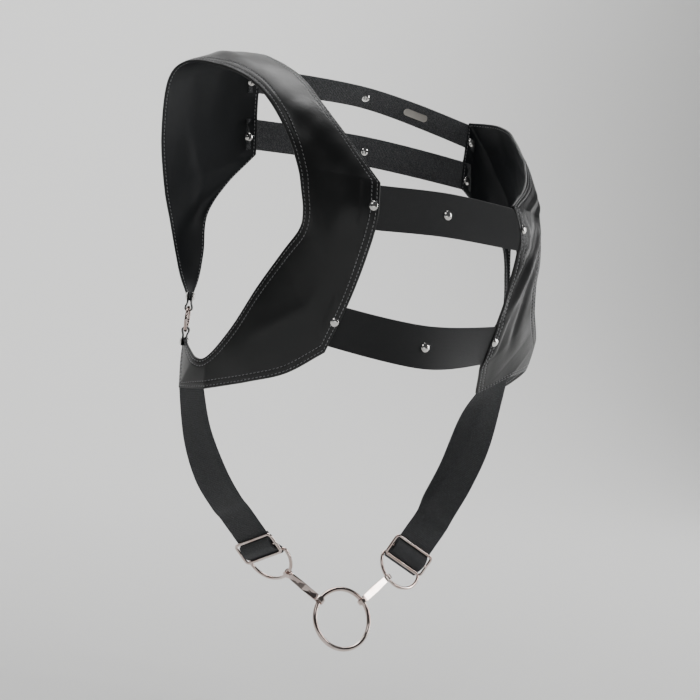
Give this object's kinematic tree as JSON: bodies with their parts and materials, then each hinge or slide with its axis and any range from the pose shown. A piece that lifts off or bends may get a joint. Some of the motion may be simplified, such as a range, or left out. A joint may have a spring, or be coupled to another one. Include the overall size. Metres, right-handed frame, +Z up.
{
  "type": "chest harness",
  "caption": "Worn chest harness: lined leather crescents round the arms, elastic bands front and back, and two straps with sliders and D-rings meeting at a ring.",
  "frame": {"origin": "on the shoulder line, midway between the two shoulders, on the middle plane", "axes": "+Z up, -Y the wearer's front, +X the wearer's left"},
  "size_m": [0.4126, 0.2193, 0.5633],
  "materials": {
    "leather": "smooth black leather, soft sheen, grey edge stitching",
    "lining": "smooth charcoal lining leather, satin",
    "front_webbing": "fine ribbed black elastic, matt",
    "back_webbing": "coarse ribbed charcoal elastic",
    "strap_webbing": "ribbed charcoal elastic",
    "polished_metal": "polished, slightly warm",
    "rivet_metal": "polished domes",
    "plate_metal": "blank satin plate"
  },
  "bodies": {
    "harness": {"leather_right": "leather", "lining_right": "lining", "front_tail_loop_right": "leather", "back_tail_loop_right": "leather", "tail_rivets_right": "rivet_metal", "strap_right": "strap_webbing", "leather_left": "leather", "lining_left": "lining", "front_tail_loop_left": "leather", "back_tail_loop_left": "leather", "tail_rivets_left": "rivet_metal", "strap_left": "strap_webbing", "front_upper_band": "front_webbing", "front_upper_rivets": "rivet_metal", "front_lower_band": "front_webbing", "front_lower_rivets": "rivet_metal", "back_upper_band": "back_webbing", "back_upper_rivets": "rivet_metal", "back_lower_band": "back_webbing", "back_lower_rivets": "rivet_metal", "plate": "plate_metal"},
    "hanging_rig": {"strap_end_right": "strap_webbing", "strap_end_left": "strap_webbing"},
    "side_ring_right": {"side_ring_right": "polished_metal"},
    "slider_right": {"slider_right": "polished_metal", "slider_turn_right": "strap_webbing"},
    "d_ring_right": {"d_ring_right": "polished_metal"},
    "side_ring_left": {"side_ring_left": "polished_metal"},
    "slider_left": {"slider_left": "polished_metal", "slider_turn_left": "strap_webbing"},
    "d_ring_left": {"d_ring_left": "polished_metal"},
    "links": {"link_right": "polished_metal", "link_left": "polished_metal"},
    "centre_ring": {"centre_ring": "polished_metal"}
  },
  "joints": [
    {"name": "strap_flex", "type": "hinge", "parent": "harness", "child": "hanging_rig", "pos_m": [0, 0.002, -0.385], "axis": [1, 0, 0], "range_deg": [-30, 12], "deforming": ["strap_right", "strap_left"]},
    {"name": "side_ring_spin_right", "type": "hinge", "parent": "harness", "child": "side_ring_right", "pos_m": [-0.178, 0.033, -0.244], "axis": [-0.9063, 0.4226, 0], "continuous": true},
    {"name": "side_ring_spin_left", "type": "hinge", "parent": "harness", "child": "side_ring_left", "pos_m": [0.178, 0.033, -0.244], "axis": [0.9063, 0.4226, 0], "continuous": true},
    {"name": "slider_travel_right", "type": "slide", "parent": "hanging_rig", "child": "slider_right", "axis": [-0.6608, 0.1201, 0.7409], "range_m": [0, 0.03]},
    {"name": "slider_travel_left", "type": "slide", "parent": "hanging_rig", "child": "slider_left", "axis": [0.4696, -0.0799, 0.8793], "range_m": [0, 0.03]},
    {"name": "d_ring_swing_right", "type": "hinge", "parent": "hanging_rig", "child": "d_ring_right", "pos_m": [-0.07358, 0.00512, -0.46395], "axis": [0.3909, -0.7875, 0.4764], "range_deg": [-1.8, 1.8]},
    {"name": "d_ring_swing_left", "type": "hinge", "parent": "hanging_rig", "child": "d_ring_left", "pos_m": [0.08017, 0.00952, -0.4681], "axis": [-0.8706, 0.1233, 0.4762], "range_deg": [-1.8, 1.8]},
    {"name": "link_swing", "type": "hinge", "parent": "hanging_rig", "child": "links", "pos_m": [0.00302, -0.00472, -0.48031], "axis": [0.9996, 0.0225, -0.0149], "range_deg": [-14, 14]},
    {"name": "ring_swing", "type": "hinge", "parent": "links", "child": "centre_ring", "pos_m": [0, -0.02401, -0.50072], "axis": [1, 0, 0], "range_deg": [-18, 18]}
  ]
}
